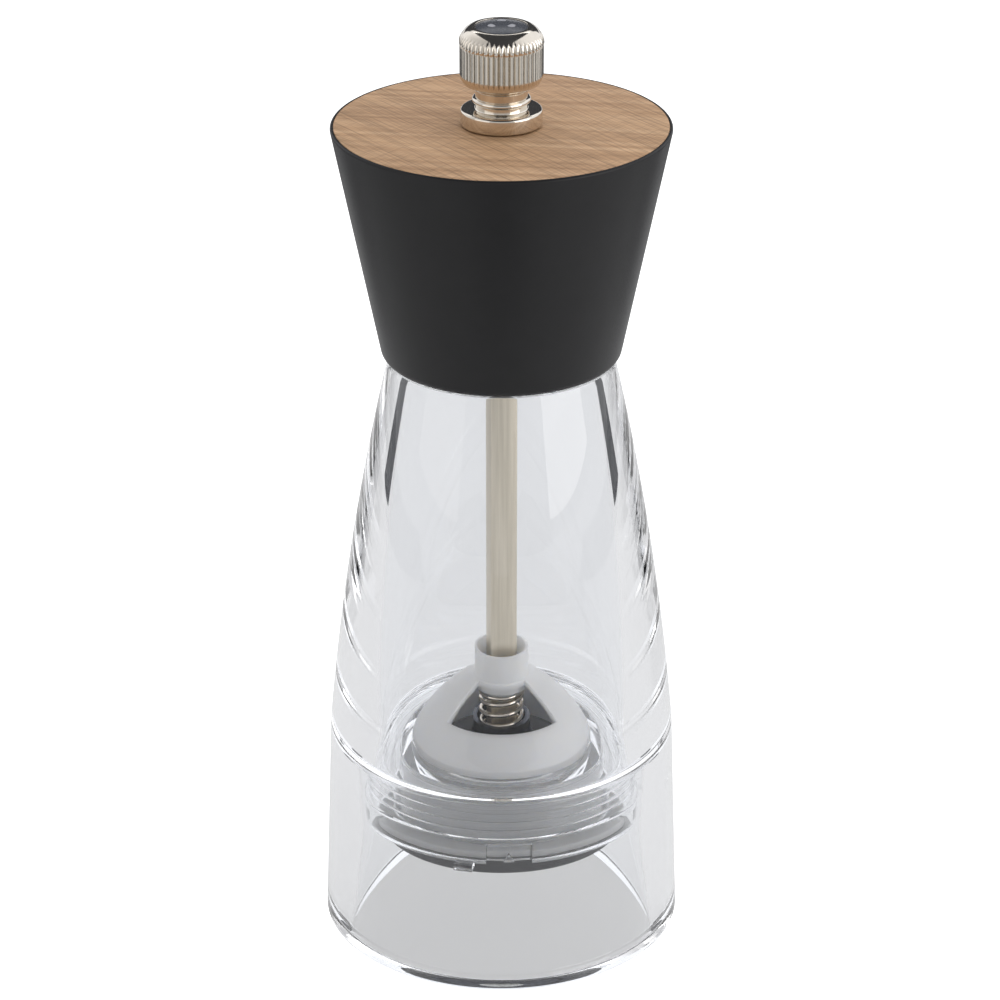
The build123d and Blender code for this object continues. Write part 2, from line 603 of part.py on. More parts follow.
def insert_blank():
    """The dark disc in the top of the knob, gently domed, before its mark is cut."""
    seat_z = KNOB_RIM_Z - INSERT_T
    edge = (INSERT_R, KNOB_RIM_Z - INSERT_EDGE)
    middle = (INSERT_MID_R, INSERT_MID_Z)
    return turned(
        Polyline((0, HEIGHT), (0, seat_z), (INSERT_R, seat_z), edge),
        ThreePointArc(edge, middle, (0, HEIGHT)),
    )


def mark_dots():
    """Three round spots in a triangle, a plain sign for peppercorns."""
    dot = Pos(DOT_RING, 0, 0) * ring(0, DOT_R, HEIGHT - DOT_DEPTH, HEIGHT + OVERRUN)
    return round_the_axis(dot, DOTS, 90.0)


def make_knob_insert():
    insert = insert_blank()
    for dot in mark_dots():
        insert -= dot
    return solid_of(insert)


def make_knob_mark():
    """The spots, set flush in the disc."""
    return Compound([solid_of(insert_blank() & dot) for dot in mark_dots()])


# ---- Writing the pieces -------------------------------------------------------------------------------

PIECES = {
    "body": make_body,
    "mechanism_housing": make_housing,
    "cage": make_cage,
    "burr_collar": make_collar,
    "outer_burr": make_outer_burr,
    "inner_burr": make_inner_burr,
    "shaft": make_shaft,
    "rotor_washer": make_rotor_washer,
    "rotor_screw": make_rotor_screw,
    "thrust_washer": make_thrust_washer,
    "spring": make_spring,
    "cap_shell": make_cap_shell,
    "wooden_disc": make_wooden_disc,
    "cap_core": make_cap_core,
    "core_screws": make_core_screws,
    "drive_plate": make_drive_plate,
    "plate_screws": make_plate_screws,
    "glide_washer": make_glide_washer,
    "knob": make_knob,
    "thread_insert": make_thread_insert,
    "knob_insert": make_knob_insert,
    "knob_mark": make_knob_mark,
}

os.makedirs("parts", exist_ok=True)
for name, make in PIECES.items():
    export_step(make(), f"parts/{name}.step")
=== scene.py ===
import json
from math import asin, atan2, cos, hypot, pi, radians, sin, tan

import bmesh
import bpy
from mathutils import Matrix, Vector


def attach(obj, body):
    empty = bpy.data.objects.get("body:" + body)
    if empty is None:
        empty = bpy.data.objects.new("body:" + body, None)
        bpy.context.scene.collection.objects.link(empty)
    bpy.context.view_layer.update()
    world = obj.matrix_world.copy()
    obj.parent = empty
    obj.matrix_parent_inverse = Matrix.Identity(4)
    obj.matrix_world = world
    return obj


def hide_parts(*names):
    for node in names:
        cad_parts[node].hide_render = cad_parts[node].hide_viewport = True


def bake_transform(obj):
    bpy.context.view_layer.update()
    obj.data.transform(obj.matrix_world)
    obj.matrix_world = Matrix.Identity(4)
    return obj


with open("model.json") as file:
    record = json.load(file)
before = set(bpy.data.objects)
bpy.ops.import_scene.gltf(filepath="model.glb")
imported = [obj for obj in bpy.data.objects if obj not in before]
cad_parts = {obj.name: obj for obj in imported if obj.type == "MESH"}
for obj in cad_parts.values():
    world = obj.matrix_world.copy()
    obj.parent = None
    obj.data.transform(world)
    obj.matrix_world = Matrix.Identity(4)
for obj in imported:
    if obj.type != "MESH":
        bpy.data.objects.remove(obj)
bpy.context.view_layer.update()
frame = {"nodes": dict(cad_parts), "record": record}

scene = bpy.context.scene
MM = 0.001
FRONT = -pi / 2  # the direction of -Y
TURN = 2 * pi


# ---- Outlines: (radius, height) or (radius, height, rounding) in millimetres ---------------------------


def rounded(points, closed=True, steps=5):
    """The outline with each corner that has a third number replaced by an arc of that radius."""
    result = []
    count = len(points)
    for i, point in enumerate(points):
        at = Vector(point[:2])
        if len(point) < 3 or (not closed and i in (0, count - 1)):
            result.append(at)
            continue
        before = (Vector(points[i - 1][:2]) - at).normalized()
        after = (Vector(points[(i + 1) % count][:2]) - at).normalized()
        half = before.angle(after) / 2
        reach = point[2] / tan(half)
        middle = at + (before + after).normalized() * point[2] / sin(half)
        start, end = at + before * reach - middle, at + after * reach - middle
        sweep = start.angle_signed(end)
        for step in range(steps + 1):
            result.append(middle + Matrix.Rotation(-sweep * step / steps, 2) @ start)
    return [(p.x, p.y) for p in result]


def arc(start, through, end, steps):
    """Points on the circle through three points, from start to end."""
    (ax, ay), (bx, by), (cx, cy) = start, through, end
    d = 2 * (ax * (by - cy) + bx * (cy - ay) + cx * (ay - by))
    ux = ((ax**2 + ay**2) * (by - cy) + (bx**2 + by**2) * (cy - ay) + (cx**2 + cy**2) * (ay - by)) / d
    uy = ((ax**2 + ay**2) * (cx - bx) + (bx**2 + by**2) * (ax - cx) + (cx**2 + cy**2) * (bx - ax)) / d
    radius = hypot(ax - ux, ay - uy)
    first, last = atan2(ay - uy, ax - ux), atan2(cy - uy, cx - ux)
    sweep = (last - first + pi) % TURN - pi
    angles = [first + sweep * i / steps for i in range(steps + 1)]
    return [(ux + radius * cos(t), uy + radius * sin(t)) for t in angles]


# ---- Meshes -------------------------------------------------------------------------------------------


def mesh_object(name, vertices, faces, sharp_angle=35):
    """A new smooth-shaded object from points in millimetres, sharp at edges of more than an angle."""
    mesh = bpy.data.meshes.new(name)
    mesh.from_pydata([Vector(v) * MM for v in vertices], [], faces)
    tidy = bmesh.new()
    tidy.from_mesh(mesh)
    bmesh.ops.remove_doubles(tidy, verts=tidy.verts, dist=1e-7)
    bmesh.ops.dissolve_degenerate(tidy, edges=tidy.edges, dist=1e-7)
    bmesh.ops.recalc_face_normals(tidy, faces=tidy.faces)
    tidy.to_mesh(mesh)
    tidy.free()
    smooth(mesh, sharp_angle)
    piece = bpy.data.objects.new(name, mesh)
    scene.collection.objects.link(piece)
    return piece


def smooth(mesh, sharp_angle):
    """Shades a mesh smooth, apart from edges of more than an angle."""
    mesh.polygons.foreach_set("use_smooth", [True] * len(mesh.polygons))
    mesh.set_sharp_from_angle(angle=radians(sharp_angle))


def lathe(name, outline, segments=256, angles=None, sharp_angle=35):
    """A solid swept round Z. outline is a closed list of points, or a function that gives it at an angle."""
    angles = angles or [TURN * i / segments for i in range(segments)]
    at = outline if callable(outline) else lambda angle: outline
    vertices, faces = [], []
    for angle in angles:
        vertices += [(r * cos(angle), r * sin(angle), z) for r, z in at(angle)]
    count = len(vertices) // len(angles)
    for i in range(len(angles)):
        here, there = i * count, (i + 1) % len(angles) * count
        for k in range(count):
            n = (k + 1) % count
            faces.append((here + k, there + k, there + n, here + n))
    return mesh_object(name, vertices, faces, sharp_angle)


def with_steps(segments, edges, gap=0.0004):
    """Evenly spaced angles, with a close pair at each of some edges so that a step there stays upright."""
    angles = [TURN * i / segments for i in range(segments)]
    for edge in edges:
        angles += [(edge - gap) % TURN, (edge + gap) % TURN]
    return sorted(angles)


def between(angle, middle, half):
    """True if an angle is within half of middle."""
    return abs((angle - middle + pi) % TURN - pi) < half


def tube(name, path, radius, sides=14):
    """A closed round wire along a list of points in millimetres."""
    vertices, faces = [], []
    points = [Vector(p) for p in path]
    for i, point in enumerate(points):
        along = (points[min(i + 1, len(points) - 1)] - points[max(i - 1, 0)]).normalized()
        side = along.cross(Vector((0, 0, 1))).normalized()
        up = side.cross(along)
        for k in range(sides):
            t = TURN * k / sides
            vertices.append(point + (side * cos(t) + up * sin(t)) * radius)
    for i in range(len(points) - 1):
        for k in range(sides):
            n = (k + 1) % sides
            faces.append((i * sides + k, i * sides + n, (i + 1) * sides + n, (i + 1) * sides + k))
    faces.append(tuple(range(sides)))
    faces.append(tuple(range(len(vertices) - sides, len(vertices))))
    return mesh_object(name, vertices, faces)


def cut(piece, cutters, bevel_mm, sharp_angle):
    """Takes the cutters out of a piece, rounds the edges that leaves, and deletes the cutters."""
    for cutter in cutters:
        boolean = piece.modifiers.new("cut", "BOOLEAN")
        boolean.operation, boolean.solver, boolean.object = "DIFFERENCE", "EXACT", cutter
    bevel = piece.modifiers.new("bevel", "BEVEL")
    bevel.width, bevel.segments, bevel.limit_method = bevel_mm * MM, 3, "ANGLE"
    bevel.angle_limit = radians(sharp_angle)
    graph = bpy.context.evaluated_depsgraph_get()
    mesh = bpy.data.meshes.new_from_object(piece.evaluated_get(graph))
    piece.modifiers.clear()
    piece.data = mesh
    smooth(mesh, sharp_angle)
    for cutter in cutters:
        bpy.data.objects.remove(cutter)
    return piece


def joined(name, parts):
    """One object that holds the meshes of several."""
    whole = bmesh.new()
    for part in parts:
        whole.from_mesh(part.data)
        bpy.data.objects.remove(part)
    mesh = bpy.data.meshes.new(name)
    whole.to_mesh(mesh)
    whole.free()
    smooth(mesh, 35)
    piece = bpy.data.objects.new(name, mesh)
    scene.collection.objects.link(piece)
    return piece


# ---- Materials ----------------------------------------------------------------------------------------


class Material:
    """A new material with a Principled shader and short ways to add nodes to it."""

    def __init__(self, name, color, roughness, **sockets):
        self.material = bpy.data.materials.new(name)
        self.material.use_nodes = True
        self.tree = self.material.node_tree
        self.shader = self.tree.nodes["Principled BSDF"]
        self.set(self.shader, {"Base Color": (*color, 1), "Roughness": roughness})
        self.set(self.shader, sockets)
        self.coordinates = self.add("ShaderNodeTexCoord").outputs["Object"]

    def set(self, node, values):
        for key, value in values.items():
            node.inputs[key].default_value = value

    def add(self, kind, properties=None, **inputs):
        node = self.tree.nodes.new(kind)
        for key, value in (properties or {}).items():
            setattr(node, key, value)
        for key, value in inputs.items():
            socket = node.inputs[int(key[1:])] if key[0] == "i" and key[1:].isdigit() else node.inputs[key]
            if isinstance(value, bpy.types.NodeSocket):
                self.tree.links.new(value, socket)
            else:
                socket.default_value = value
        return node

    def link(self, output, input_name):
        self.tree.links.new(output, self.shader.inputs[input_name])

    def stretched(self, scale, turn=0.0):
        """Object coordinates turned about Z, then scaled along each axis."""
        turned = self.add("ShaderNodeMapping", Vector=self.coordinates)
        turned.inputs["Rotation"].default_value = (0, 0, turn)
        node = self.add("ShaderNodeMapping", Vector=turned.outputs["Vector"])
        node.inputs["Scale"].default_value = scale
        return node.outputs["Vector"]

    def noise(self, vector, scale, detail=3.0, roughness=0.5, distortion=0.0):
        node = self.add("ShaderNodeTexNoise", Vector=vector, Scale=scale, Detail=detail)
        self.set(node, {"Roughness": roughness, "Distortion": distortion})
        return node.outputs["Fac"]

    def ramp(self, factor, *stops):
        """A colour ramp; each stop is (position, colour) with a grey as one number."""
        node = self.add("ShaderNodeValToRGB", Fac=factor)
        elements = node.color_ramp.elements
        while len(elements) < len(stops):
            elements.new(0.5)
        for element, (position, color) in zip(elements, stops):
            rgb = (color,) * 3 if isinstance(color, (int, float)) else color
            element.position, element.color = position, (*rgb, 1)
        return node.outputs["Color"]

    def spread(self, factor, low, high):
        """A number from 0 to 1 stretched to run from low to high."""
        node = self.add("ShaderNodeMapRange", Value=factor)
        self.set(node, {"To Min": low, "To Max": high})
        return node.outputs["Result"]

    def mix(self, factor, a, b, blend="MIX"):
        node = self.add("ShaderNodeMix", {"data_type": "RGBA", "blend_type": blend})
        for socket, value in ((0, factor), (6, a), (7, b)):
            if isinstance(value, bpy.types.NodeSocket):
                self.tree.links.new(value, node.inputs[socket])
            else:
                node.inputs[socket].default_value = value if socket == 0 else (*value, 1)
        return node.outputs[2]

    def bump(self, height, distance_mm, strength=1.0, onto=None):
        node = self.add("ShaderNodeBump", Height=height, Strength=strength, Distance=distance_mm * MM)
        if onto is not None:
            self.tree.links.new(onto, node.inputs["Normal"])
        return node.outputs["Normal"]


def clear_acrylic(name, tint, ripple_mm):
    """Clear moulded acrylic, with a very faint ripple from the mould and a breath of wear in its gloss."""
    m = Material(name, tint, 0.0, **{"Transmission Weight": 1.0, "IOR": 1.49})
    flow = m.noise(m.stretched((1, 1, 0.35)), 55, 2)
    m.link(m.bump(flow, ripple_mm), "Normal")
    wear = m.noise(m.coordinates, 900, 4, 0.65)
    m.link(m.spread(wear, 0.0, 0.03), "Roughness")
    return m.material


def milky_plastic():
    """Translucent natural plastic: bluish white, cloudy, satin."""
    m = Material("milky_plastic", (0.95, 0.96, 0.98), 0.3, **{"Subsurface Weight": 1.0, "IOR": 1.45})
    m.set(m.shader, {"Subsurface Scale": 0.0015, "Subsurface Radius": (1.0, 1.05, 1.15)})
    m.set(m.shader, {"Transmission Weight": 0.05})
    cloud = m.noise(m.coordinates, 160, 4)
    m.link(m.mix(cloud, (0.935, 0.958, 0.992), (0.972, 0.984, 1.0)), "Base Color")
    grain = m.noise(m.coordinates, 2600, 3)
    m.link(m.spread(grain, 0.24, 0.4), "Roughness")
    m.link(m.bump(grain, 0.012), "Normal")
    return m.material


def moulded_plastic(name, dark, light, roughness, grain_mm, **sockets):
    """Moulded plastic with a fine grain and slight mottling."""
    m = Material(name, dark, roughness, **sockets)
    mottle = m.noise(m.coordinates, 220, 5, 0.6)
    m.link(m.mix(mottle, dark, light), "Base Color")
    grain = m.noise(m.coordinates, 3200, 4, 0.6)
    m.link(m.spread(grain, roughness - 0.07, roughness + 0.07), "Roughness")
    m.link(m.bump(grain, grain_mm), "Normal")
    return m.material


def metal(name, dark, light, roughness, spread, stretch, scale, depth_mm):
    """Metal whose tone and gloss vary along brushed or turned lines."""
    m = Material(name, dark, roughness, **{"Metallic": 1.0})
    lines = m.noise(m.stretched(stretch), scale, 4, 0.6)
    cloud = m.noise(m.coordinates, 90, 3)
    m.link(m.mix(m.spread(lines, 0.1, 0.9), dark, light), "Base Color")
    both = m.add("ShaderNodeMath", {"operation": "ADD"}, i0=lines, i1=cloud).outputs[0]
    half = m.add("ShaderNodeMath", {"operation": "MULTIPLY"}, i0=both, i1=0.5).outputs[0]
    m.link(m.spread(half, roughness - spread, roughness + spread), "Roughness")
    m.link(m.bump(lines, depth_mm), "Normal")
    return m.material


def wood():
    """A pale brown hardwood face: long soft grain, fine pores, and fine saw marks that cross it."""
    m = Material("wood", (0.5, 0.34, 0.22), 0.55, **{"Specular IOR Level": 0.3})
    grain_way = radians(9)
    drift = m.noise(m.stretched((14, 14, 14)), 1.0, 2)
    long_grain = m.noise(m.stretched((24, 520, 60), grain_way), 1.0, 5, 0.55, 0.5)
    broad = m.noise(m.stretched((16, 90, 20), grain_way), 1.0, 4, 0.55, 1.0)
    color = m.ramp(long_grain, (0.30, DARK_WOOD), (0.50, MIDDLE_WOOD), (0.72, PALE_WOOD))
    clouds = m.ramp(broad, (0.32, (0.90, 0.87, 0.84)), (0.60, (1.06, 1.05, 1.03)))
    color = m.mix(1.0, color, clouds, "MULTIPLY")
    clouds = m.ramp(drift, (0.35, (0.94, 0.93, 0.95)), (0.65, (1.04, 1.04, 1.02)))
    color = m.mix(1.0, color, clouds, "MULTIPLY")
    heights = []
    for turn, across, along, depth in SAW_MARKS:
        marks = m.noise(m.stretched((along, across, 40), turn), 1.0, 2, 0.5)
        color = m.mix(1.0, color, m.ramp(marks, (0.36, 1 - depth), (0.50, 1.0)), "MULTIPLY")
        heights.append(marks)
    pores = m.noise(m.stretched((170, 2600, 400), grain_way), 1.0, 2, 0.5)
    color = m.mix(1.0, color, m.ramp(pores, (0.30, 0.80), (0.40, 1.0)), "MULTIPLY")
    m.link(color, "Base Color")
    m.link(m.spread(long_grain, 0.62, 0.48), "Roughness")
    normal = m.bump(long_grain, 0.02)
    for height in heights:
        normal = m.bump(height, 0.015, onto=normal)
    m.link(m.bump(pores, 0.02, onto=normal), "Normal")
    return m.material


DARK_WOOD, MIDDLE_WOOD, PALE_WOOD = (0.400, 0.240, 0.130), (0.525, 0.330, 0.186), (0.610, 0.405, 0.243)

# How the saw left its marks: direction, marks per metre across and along it, and how dark they are.
SAW_MARKS = (
    (radians(52), 2400, 26, 0.24),
    (radians(56), 4200, 45, 0.20),
    (radians(-50), 3600, 55, 0.16),
    (radians(52), 900, 12, 0.08),
)

SOFT_GLOSS = {"Specular IOR Level": 0.22}
EVENLY, LENGTHWISE, ROUND = (1, 1, 1), (1, 1, 0.03), (1, 1, 14)  # how lines in a metal are stretched

MATERIALS = {
    "clear_acrylic": clear_acrylic("clear_acrylic", (0.955, 0.963, 0.976), 0.02),
    "clear_carrier": clear_acrylic("clear_carrier", (0.985, 0.988, 0.992), 0.015),
    "milky_plastic": milky_plastic(),
    "wood": wood(),
}
PLASTICS = {  # dark and light colour, roughness, depth of the grain in millimetres, other sockets
    "dark_plastic": ((0.030, 0.032, 0.036), (0.042, 0.044, 0.049), 0.38, 0.012, {}),
    "black_cap": ((0.0115, 0.0115, 0.0122), (0.0155, 0.0155, 0.0165), 0.40, 0.006, SOFT_GLOSS),
    "knob_disc": ((0.050, 0.054, 0.066), (0.070, 0.075, 0.088), 0.26, 0.006, {}),
    "disc_mark": ((0.30, 0.30, 0.33), (0.36, 0.36, 0.39), 0.35, 0.006, {}),
    "nylon": ((0.72, 0.72, 0.69), (0.80, 0.80, 0.77), 0.45, 0.012, {}),
}
METALS = {  # dark and light colour, roughness and its spread, stretch and scale of the lines, their depth
    # burr_steel is near black: partly the burrs' own dark steel, partly painted shade for the dim inside of
    # the cage.
    "burr_steel": ((0.040, 0.043, 0.055), (0.10, 0.105, 0.125), 0.24, 0.08, (1, 1, 2.5), 400, 0.004),
    "shaft_steel": ((0.50, 0.445, 0.345), (0.90, 0.83, 0.70), 0.36, 0.10, LENGTHWISE, 1600, 0.004),
    "spring_steel": ((0.62, 0.55, 0.46), (0.80, 0.74, 0.66), 0.16, 0.05, EVENLY, 900, 0.004),
    "zinc_steel": ((0.56, 0.57, 0.56), (0.74, 0.74, 0.71), 0.28, 0.08, EVENLY, 900, 0.004),
    "chrome_knob": ((0.66, 0.60, 0.52), (0.80, 0.75, 0.67), 0.11, 0.04, EVENLY, 500, 0.002),
    "brass_insert": ((0.58, 0.40, 0.15), (0.76, 0.56, 0.26), 0.28, 0.08, ROUND, 500, 0.004),
}
for name, (dark, light, roughness, grain, sockets) in PLASTICS.items():
    MATERIALS[name] = moulded_plastic(name, dark, light, roughness, grain, **sockets)
for name, values in METALS.items():
    MATERIALS[name] = metal(name, *values)


def finish_piece(piece, body, material, *nodes, slot=None):
    """Gives a piece its material, the body it moves with and the CAD nodes it stands for. The slot argument
    is not used.
    """
    piece.data.materials.clear()
    piece.data.materials.append(MATERIALS[material])
    if body:
        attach(piece, body)
    if nodes:
        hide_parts(*nodes)
    return piece


# ---- Body ---------------------------------------------------------------------------------------------

BASE_R, SKIRT_TOP_R, SKIRT_TOP_Z = 31.7, 30.2, 37.8
WAIST, SHOULDER, INNER_WAIST = (25.35, 75.6), (19.2, 106.7), (20.75, 68.25)
SKIRT_BORE_R, SKIRT_BORE_TOP_R = 25.3, 24.5
CHAMBER_R, CHAMBER_BEND_Z, CHAMBER_FLOOR_Z = 22.3, 42.0, 34.65
NECK_BORE_R, NECK_R, NECK_TOP_Z = 15.5, 17.5, 115.0
HOUSING_BOTTOM_Z = 22.15
AIR_GAP = 0.04  # between two pieces that only lie on each other
CATCHES, CATCH_START, CATCH_HALF, CATCH_HEIGHT, CATCH_R = 3, FRONT - radians(14.5), radians(3.5), 1.2, 22.7


def clear_body():
    """The clear body with its chamber, and the catches in its skirt that hold the mechanism up."""
    outside = arc((SKIRT_TOP_R, SKIRT_TOP_Z), WAIST, SHOULDER, 60)
    inside = arc((NECK_BORE_R, SHOULDER[1]), INNER_WAIST, (CHAMBER_R, CHAMBER_BEND_Z), 50)
    catch_low = HOUSING_BOTTOM_Z - CATCH_HEIGHT
    middles = [CATCH_START + TURN * i / CATCHES for i in range(CATCHES)]

    def bore(z):
        return SKIRT_BORE_R - (SKIRT_BORE_R - SKIRT_BORE_TOP_R) * z / CHAMBER_FLOOR_Z

    def outline(angle):
        caught = any(between(angle, middle, CATCH_HALF) for middle in middles)
        low_r = CATCH_R if caught else bore(catch_low)
        high_r = CATCH_R if caught else bore(HOUSING_BOTTOM_Z)
        points = [(BASE_R - 0.1, 0, 0.7)]
        points += [outside[0], *outside[1:-1], (*outside[-1], 0.25)]
        points += [(NECK_R, SHOULDER[1]), (NECK_R, NECK_TOP_Z, 0.3), (NECK_BORE_R, NECK_TOP_Z, 0.3)]
        points += inside
        points += [(CHAMBER_R, CHAMBER_FLOOR_Z, 0.4), (SKIRT_BORE_TOP_R, CHAMBER_FLOOR_Z, 0.9)]
        points += [(bore(HOUSING_BOTTOM_Z + 0.01), HOUSING_BOTTOM_Z + 0.01), (high_r, HOUSING_BOTTOM_Z)]
        points += [(low_r, catch_low), (bore(catch_low - 0.01), catch_low - 0.01), (SKIRT_BORE_R, 0, 0.4)]
        return rounded(points)

    edges = [middle + side * CATCH_HALF for middle in middles for side in (-1, 1)]
    piece = lathe("clear_body", outline, angles=with_steps(256, edges))
    finish_piece(piece, "stand", "clear_acrylic", "body")


# ---- Mechanism that stands still ----------------------------------------------------------------------

FLANGE_R, FLANGE_TOP_Z, HOUSING_R = 24.0, 26.9, 23.3
RIBS, RIB_R, RIB_HEIGHT = 4, 23.8, 0.8
NOTCHES, NOTCH_START, NOTCH_WIDTH, NOTCH_HEIGHT, NOTCH_DEPTH = 3, FRONT + radians(3.0), 7.4, 3.6, 1.2
MARK_WIDTH, MARK_HEIGHT, MARK_DEPTH = 1.8, 1.6, 0.6
GROOVE, GROOVE_TOP_Z = (18.3, 21.4), 33.0  # moulded up into the carrier from below
CAGE_R, CAGE_FOOT_R, CAGE_STEP_Z, CAGE_CORNER_Z = 16.0, 16.6, 31.6, 35.6
CAGE_BOTTOM_Z, CAGE_BORE_R = HOUSING_BOTTOM_Z, 13.9
CAGE_FLANGE_R, CAGE_FLANGE_TOP_Z = 20.6, 23.35
HUB_R, HUB_FOOT_Z, HUB_TOP_Z, HUB_BORE_R, HUB_MOUTH_R = 4.88, 43.9, 51.3, 3.38, 4.3
DOME_TOP_Z, DOME_BULGE = 46.3, (12.3, 40.4)
DOME_UNDER_Z, DOME_UNDER_BULGE = 45.1, (11.5, 39.55)
WINDOW_R, WINDOW_HALF, WINDOW_TURN = 12.1, radians(51), radians(1)
WINDOW_HEART_R = HUB_R + 0.3  # a little of the dome stays round the hub, as a fillet does
COLLAR_R, COLLAR_BORE_R, COLLAR_LOW_Z = 21.1, 13.85, 18.6


def moulded_mark(radius, middle):
    """A small raised triangle on the floor of a notch."""
    half, low = MARK_WIDTH / 2, HOUSING_BOTTOM_Z + 0.1
    corners = [(-half, low), (half, low), (0, low + MARK_HEIGHT)]
    turn = Matrix.Rotation(middle, 3, "Z")
    points = [turn @ Vector((r, y, z)) for r in (radius + 0.01, radius + MARK_DEPTH) for y, z in corners]
    return mesh_object("mark", points, [(0, 2, 1), (3, 4, 5), (0, 1, 4, 3), (1, 2, 5, 4), (2, 0, 3, 5)])


def carrier_ring():
    """The clear carrier: ribs on the outside and notches in its flange."""
    spacing = (CHAMBER_FLOOR_Z - FLANGE_TOP_Z) / (RIBS + 0.5)
    middles = [NOTCH_START + TURN * i / NOTCHES for i in range(NOTCHES)]
    half = asin(NOTCH_WIDTH / 2 / FLANGE_R)
    top_z = HOUSING_BOTTOM_Z + NOTCH_HEIGHT
    floor_r = FLANGE_R - NOTCH_DEPTH
    deck_z = CHAMBER_FLOOR_Z - AIR_GAP
    sleeve_z = CAGE_FLANGE_TOP_Z + AIR_GAP

    def outline(angle):
        low_r = floor_r if any(between(angle, middle, half) for middle in middles) else FLANGE_R
        points = [(CAGE_FOOT_R + 0.05, sleeve_z), (GROOVE[0], sleeve_z, 0.2)]
        points += [(GROOVE[0], GROOVE_TOP_Z, 0.5), (GROOVE[1], GROOVE_TOP_Z, 0.5)]
        points += [(GROOVE[1], HOUSING_BOTTOM_Z, 0.2)]
        points += [(low_r, HOUSING_BOTTOM_Z, 0.25)]
        points += [(low_r, top_z - 0.01), (FLANGE_R, top_z)]
        points += [(FLANGE_R, FLANGE_TOP_Z, 0.25), (HOUSING_R, FLANGE_TOP_Z)]
        for i in range(RIBS):
            low = FLANGE_TOP_Z + spacing * (i + 0.75)
            points += arc((HOUSING_R, low), (RIB_R, low + RIB_HEIGHT / 2), (HOUSING_R, low + RIB_HEIGHT), 6)
        points += [(HOUSING_R, deck_z, 0.2), (CAGE_R + 0.05, deck_z, 0.3)]
        points += [(CAGE_R + 0.05, CAGE_STEP_Z + 0.05), (CAGE_FOOT_R + 0.05, CAGE_STEP_Z + 0.05)]
        return rounded(points, steps=3)

    edges = [middle + side * half for middle in middles for side in (-1, 1)]
    ring = lathe("ring", outline, angles=with_steps(256, edges))
    marks = [moulded_mark(floor_r, middle) for middle in middles]
    piece = joined("carrier_ring", [ring, *marks])
    finish_piece(piece, "stand", "clear_carrier", "mechanism_housing", slot="clear_acrylic")


def milky_cage():
    """The translucent cage: a dome with two windows on a sleeve, with the hub that guides the shaft."""
    outside = arc((CAGE_R, CAGE_CORNER_Z), DOME_BULGE, (HUB_R, DOME_TOP_Z), 28)
    inside = arc((HUB_R, DOME_UNDER_Z), DOME_UNDER_BULGE, (CAGE_BORE_R, CAGE_CORNER_Z - 0.6), 28)
    dome = [(CAGE_BORE_R, CAGE_BOTTOM_Z), (CAGE_FLANGE_R, CAGE_BOTTOM_Z, 0.2)]
    dome += [(CAGE_FLANGE_R, CAGE_FLANGE_TOP_Z, 0.2)]
    dome += [(CAGE_FOOT_R, CAGE_FLANGE_TOP_Z, 0.2), (CAGE_FOOT_R, CAGE_STEP_Z)]
    dome += [(CAGE_R, CAGE_STEP_Z), (CAGE_R, CAGE_CORNER_Z, 0.6), *outside[1:]]
    dome += [(HUB_R, HUB_TOP_Z, 0.25), (HUB_MOUTH_R, HUB_TOP_Z, 0.25), (HUB_BORE_R, HUB_TOP_Z - 1.6)]
    dome += [(HUB_BORE_R, HUB_FOOT_Z), (HUB_R, HUB_FOOT_Z, 0.2), *inside]
    piece = lathe("milky_cage", rounded(dome), 192)
    cutters = []
    for i in range(2):
        middle = FRONT + WINDOW_TURN + pi * i
        angles = [middle - WINDOW_HALF + 2 * WINDOW_HALF * k / 40 for k in range(41)]
        rim = [(WINDOW_R * cos(t), WINDOW_R * sin(t)) for t in angles]
        heart = [(WINDOW_HEART_R * cos(t), WINDOW_HEART_R * sin(t)) for t in reversed(angles)]
        ring = rim + heart
        low, high = [(x, y, CAGE_CORNER_Z) for x, y in ring], [(x, y, HUB_TOP_Z) for x, y in ring]
        count = len(ring)
        sides = [(k, (k + 1) % count, count + (k + 1) % count, count + k) for k in range(count)]
        ends = [tuple(reversed(range(count))), tuple(range(count, 2 * count))]
        cutters.append(mesh_object("cutter", low + high, sides + ends))
    cut(piece, cutters, 0.22, 40)
    finish_piece(piece, "stand", "milky_plastic", "cage")


def collar_ring():
    """The dark ring under the carrier."""
    top_z = HOUSING_BOTTOM_Z - AIR_GAP
    points = [(COLLAR_BORE_R, COLLAR_LOW_Z, 0.2), (COLLAR_R, COLLAR_LOW_Z, 0.6)]
    points += [(COLLAR_R, top_z, 0.1), (COLLAR_BORE_R, top_z)]
    piece = lathe("collar_ring", rounded(points), 256)
    finish_piece(piece, "stand", "dark_plastic", "burr_collar")


# ---- Drive --------------------------------------------------------------------------------------------

ROTOR_LOW_Z, ROTOR_BORE_R = 18.9, 3.4
TEETH, TEETH_R, TEETH_TAPER, TEETH_TOP_Z, TOOTH_DEPTH = 24, 11.5, 1.2, 26.0, 0.75
TOOTH_SLANT = 0.045  # radians for each millimetre up
BLADES, BLADE_R, BLADE_TAPER, BLADE_WIND = 4, 9.9, 4.7, radians(100)
CONE_TOP_Z, CONE_FLARE = 35.6, 3.6
CUP_R, CUP_BORE_R, CUP_FLOOR_Z, CUP_TOP_Z = 5.2, 4.4, 34.5, 37.6
SPRING_R, WIRE_R, WASHER_THICK = 3.75, 0.4, 0.6
SHAFT_SIDE, SHAFT_CORNER, SHAFT_TURN = 4.7, 0.35, radians(12)
SHAFT_LOW_Z, SHAFT_SHOULDER_Z, SHAFT_CHAMFER = 20.5, 144.8, 0.9
STUD_R, STUD_TOP_Z, THREAD_PITCH, THREAD_DEPTH = 2.42, 158.4, 0.8, 0.4


